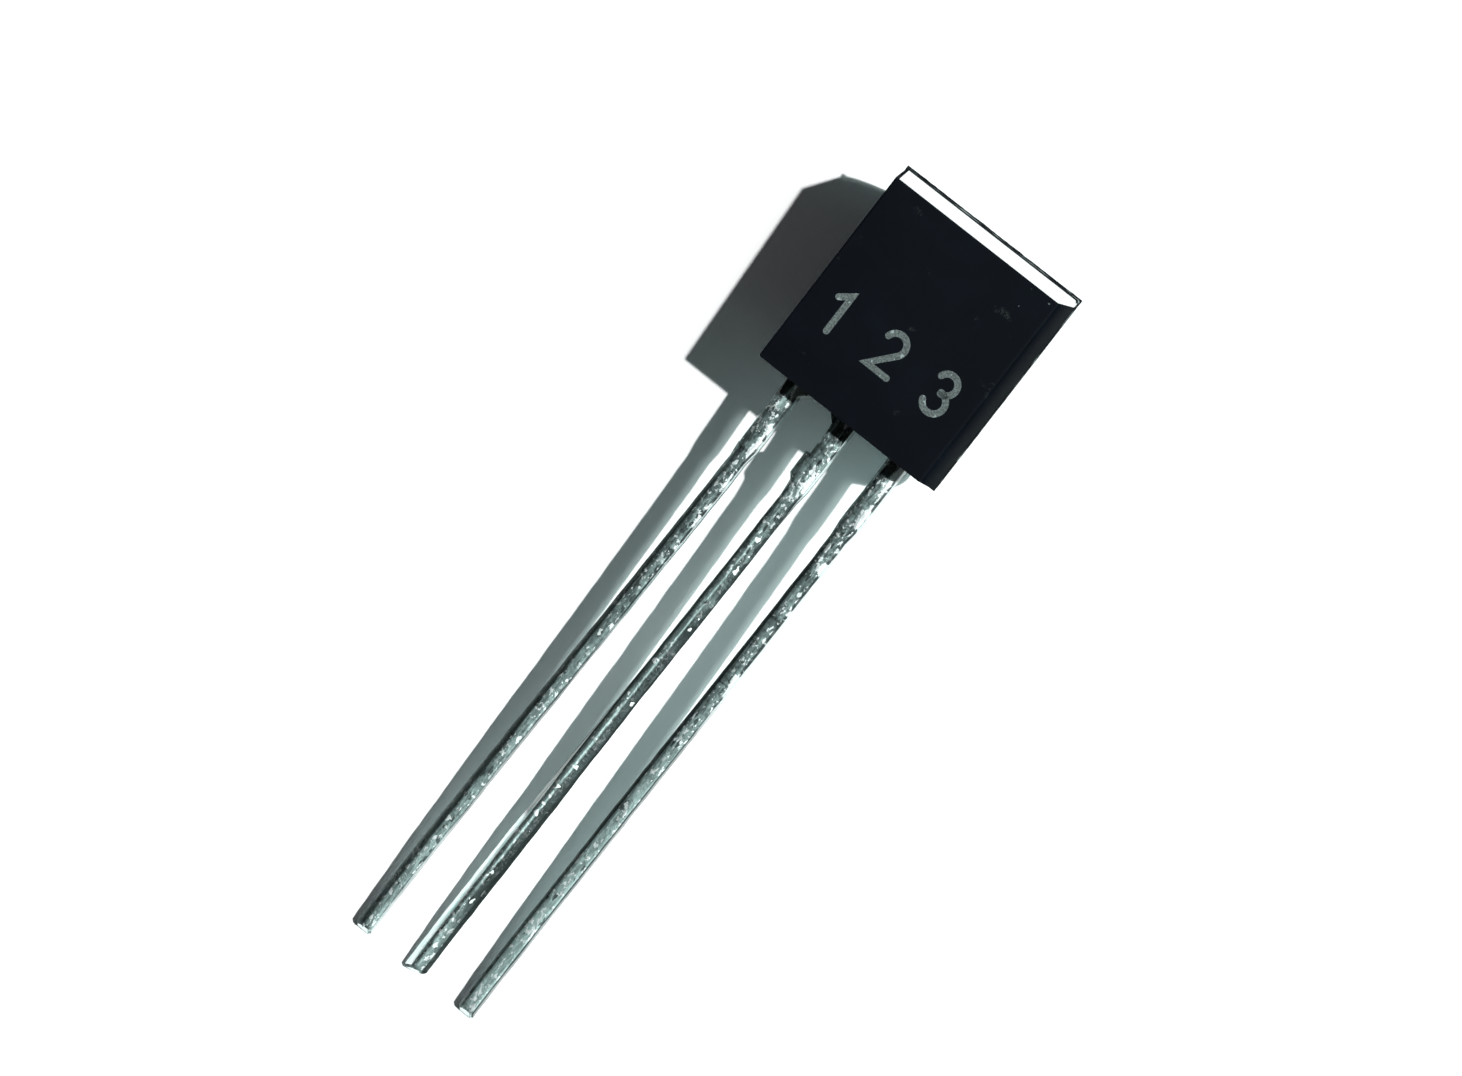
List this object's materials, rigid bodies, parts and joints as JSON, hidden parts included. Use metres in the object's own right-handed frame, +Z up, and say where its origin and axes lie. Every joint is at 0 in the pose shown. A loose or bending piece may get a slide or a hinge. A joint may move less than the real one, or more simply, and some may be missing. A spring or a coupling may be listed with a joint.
{
  "type": "to-92 transistor",
  "caption": "Small three-lead transistor in a black moulded case with a flat face and a round back, with straight tinned leads, lying on its back.",
  "frame": {"origin": "on the surface that the part lies on, under the middle of its bounding box", "axes": "+Y along the length from the lead tips to the case's closed end, +X across the leads from emitter to collector, +Z up, out of the flat face apart from the rest tilt of 7.9 degrees"},
  "size_m": [0.0044, 0.0184, 0.004],
  "materials": {
    "case_resin": "fine satin black epoxy moulding compound with small scuffs",
    "tinned_lead": "dull grey tin plating with drawn streaks and bright specks",
    "silicon": "polished dark silicon",
    "silver_paste": "grainy silver-filled epoxy",
    "gold_wire": "smooth fine gold wire"
  },
  "bodies": {
    "root": {"moulded_case": "case_resin", "emitter_lead": "tinned_lead", "base_lead": "tinned_lead", "collector_lead": "tinned_lead", "chip": "silicon", "die_attach": "silver_paste", "emitter_bond_wire": "gold_wire", "base_bond_wire": "gold_wire"}
  },
  "joints": []
}
